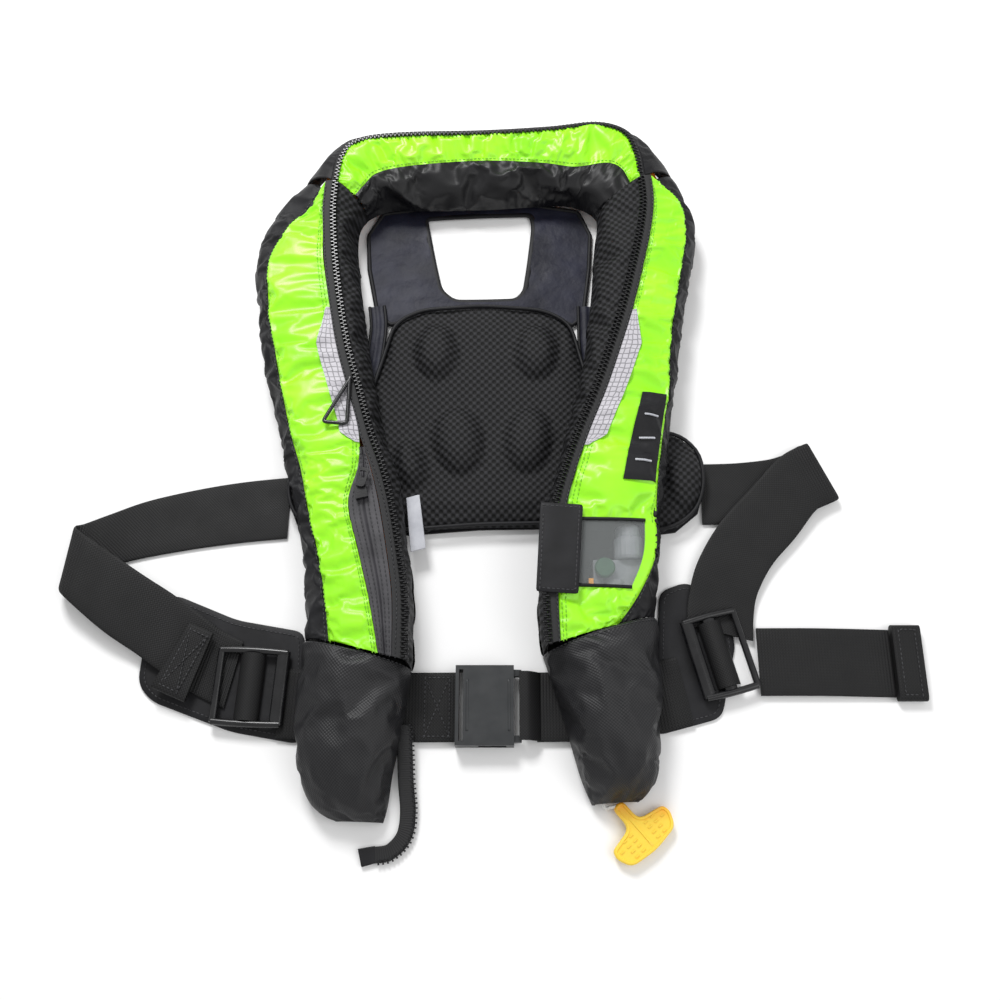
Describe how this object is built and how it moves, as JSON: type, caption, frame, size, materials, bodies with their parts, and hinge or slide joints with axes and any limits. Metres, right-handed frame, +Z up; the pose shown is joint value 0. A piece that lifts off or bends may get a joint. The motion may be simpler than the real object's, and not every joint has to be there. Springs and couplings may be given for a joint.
{
  "type": "life jacket",
  "caption": "Automatic inflatable life jacket laid flat: lime and black horseshoe cover, padded mesh back, waist harness with buckle, inflator under a window and yellow pull toggle.",
  "frame": {"origin": "on the flat underside of the back pad, on the vest's centre line, below the middle of the pad's lower pods", "axes": "+Y runs up the vest from the waist belt to the collar, +X runs across towards the lobe with the inflator window, +Z points up out of the face that the jacket shows when it is laid flat"},
  "size_m": [0.6384, 0.5979, 0.0518],
  "materials": {
    "black_shell": "tight black nylon, soft satin",
    "black_mesh": "black 3-D air mesh",
    "navy_lining": "dark slate-navy nylon",
    "lime_cover": "fluorescent lime coated polyester, satin",
    "pocket_fabric": "black ballistic weave",
    "webbing": "ribbed 50 mm black webbing",
    "zip": "black moulded zip teeth on woven tape",
    "taped_zip": "dark grey taped zip panel",
    "reflective": "silver honeycomb retroreflective tape",
    "window": "clear flexible film",
    "buckle_plastic": "dark grey acetal",
    "inflator_plastic": "grey moulded plastic",
    "bottle": "painted steel gas bottle",
    "bladder": "orange coated nylon",
    "yellow_plastic": "yellow moulded plastic",
    "green_plastic": "green indicator plastic",
    "white_cord": "white braided cord",
    "care_label": "grey-white woven label"
  },
  "bodies": {
    "root": {"back_pad_base": "black_shell", "back_pad_mesh": "black_mesh", "back_yoke": "navy_lining", "neck_binding": "black_shell", "left_side_panel": "black_shell", "right_side_panel": "black_shell", "left_front_cover": "lime_cover", "right_front_cover": "lime_cover", "right_lower_cover": "lime_cover", "window_panel": "window", "left_burst_zip": "zip", "right_burst_zip": "zip", "collar_burst_zip": "zip", "inspection_zip_panel": "taped_zip", "left_mesh_lining": "black_mesh", "right_mesh_lining": "black_mesh", "collar_back_cover": "black_shell", "collar_cover": "lime_cover", "collar_lining": "black_shell", "bladder": "bladder", "left_pocket": "pocket_fabric", "right_pocket": "pocket_fabric", "left_back_cover": "black_shell", "right_back_cover": "black_shell", "oral_tube": "inflator_plastic", "whistle": "yellow_plastic", "inflator_body": "inflator_plastic", "left_reflective_patch": "reflective", "right_reflective_patch": "reflective", "label_patch": "black_shell", "care_tag": "care_label", "zip_tail": "zip", "zip_tail_tab": "black_shell", "left_strap": "webbing", "left_strap_end": "webbing", "right_strap": "webbing", "right_strap_tail": "webbing", "right_strap_end": "webbing", "front_belt_right": "webbing", "left_belt_sleeve": "black_shell", "right_belt_sleeve": "black_shell", "buckle_male": "buckle_plastic"},
    "buckle_female": {"buckle_female": "buckle_plastic", "front_belt_left": "webbing"},
    "buckle_prong_upper": {"buckle_prong_upper": "buckle_plastic"},
    "buckle_prong_lower": {"buckle_prong_lower": "buckle_plastic"},
    "pull_toggle": {"pull_toggle": "yellow_plastic", "pull_cord": "white_cord"},
    "firing_lever": {"firing_lever": "yellow_plastic"},
    "sensor_cap": {"sensor_cap": "inflator_plastic"},
    "gas_bottle": {"gas_bottle": "bottle"},
    "status_knob": {"status_knob": "green_plastic"},
    "oral_valve": {"oral_valve": "yellow_plastic"},
    "oral_cap": {"oral_cap": "buckle_plastic"},
    "zip_slider": {"zip_slider": "buckle_plastic"},
    "zip_pull": {"zip_pull": "buckle_plastic"},
    "triangle_loop": {"triangle_loop": "buckle_plastic"},
    "velcro_flap": {"velcro_flap": "black_shell"},
    "left_adjuster": {"left_adjuster": "buckle_plastic"},
    "right_adjuster": {"right_adjuster": "buckle_plastic"}
  },
  "joints": [
    {"name": "buckle_release", "type": "slide", "parent": "root", "child": "buckle_female", "axis": [-1, 0, 0], "range_m": [0, 0.03]},
    {"name": "upper_prong_squeeze", "type": "hinge", "parent": "root", "child": "buckle_prong_upper", "pos_m": [0.0283, -0.1368, 0.00725], "axis": [0, 0, 1], "range_deg": [0, 15]},
    {"name": "lower_prong_squeeze", "type": "hinge", "parent": "root", "child": "buckle_prong_lower", "pos_m": [0.0283, -0.1842, 0.00725], "axis": [0, 0, 1], "range_deg": [-15, 0]},
    {"name": "toggle_pull", "type": "slide", "parent": "root", "child": "pull_toggle", "axis": [0, -1, 0], "range_m": [0, 0.025]},
    {"name": "lever_swing", "type": "hinge", "parent": "root", "child": "firing_lever", "pos_m": [0.0812, -0.076, 0.019], "axis": [1, 0, 0], "range_deg": [0, 82]},
    {"name": "sensor_cap_turn", "type": "hinge", "parent": "root", "child": "sensor_cap", "pos_m": [0.1105, -0.0577, 0.027], "axis": [0, 1, 0], "range_deg": [0, 90]},
    {"name": "bottle_unscrew", "type": "hinge", "parent": "root", "child": "gas_bottle", "pos_m": [0.098, -0.0823, 0.0205], "axis": [0, 1, 0], "range_deg": [0, 180]},
    {"name": "status_knob_press", "type": "slide", "parent": "root", "child": "status_knob", "axis": [0, 0, -1], "range_m": [0, 0.0015]},
    {"name": "oral_valve_press", "type": "slide", "parent": "root", "child": "oral_valve", "axis": [0, 1, 0], "range_m": [0, 0.004], "stiffness_N_per_m": 150},
    {"name": "oral_cap_pull", "type": "slide", "parent": "root", "child": "oral_cap", "axis": [0, -1, 0], "range_m": [0, 0.014]},
    {"name": "inspection_zip_run", "type": "slide", "parent": "root", "child": "zip_slider", "axis": [0.23, -0.9732, 0], "range_m": [0, 0.104]},
    {"name": "zip_pull_swing", "type": "hinge", "parent": "zip_slider", "child": "zip_pull", "pos_m": [-0.08696, -0.00805, 0.051], "axis": [0.9826, -0.1857, 0], "range_deg": [0, 110]},
    {"name": "triangle_loop_swing", "type": "hinge", "parent": "root", "child": "triangle_loop", "pos_m": [-0.0975, 0.0645, 0.0474], "axis": [0, 1, 0], "range_deg": [0, 120]},
    {"name": "velcro_flap_lift", "type": "hinge", "parent": "root", "child": "velcro_flap", "pos_m": [0.0735, -0.0545, 0.0478], "axis": [0.0744, 0.9972, 0], "range_deg": [0, 130]},
    {"name": "left_adjuster_tilt", "type": "hinge", "parent": "root", "child": "left_adjuster", "pos_m": [-0.13854, -0.14791, 0.0048], "axis": [0.0523, 0.9986, 0], "range_deg": [0, 40]},
    {"name": "right_adjuster_tilt", "type": "hinge", "parent": "root", "child": "right_adjuster", "pos_m": [0.1552, -0.12801, 0.0048], "axis": [0.2504, -0.9681, 0], "range_deg": [0, 40]}
  ],
  "couplings": [
    {"joint": "upper_prong_squeeze", "follows": "buckle_release", "rad_per_m": 8.38},
    {"joint": "lower_prong_squeeze", "follows": "buckle_release", "rad_per_m": -8.38},
    {"joint": "lever_swing", "follows": "toggle_pull", "rad_per_m": 56}
  ]
}
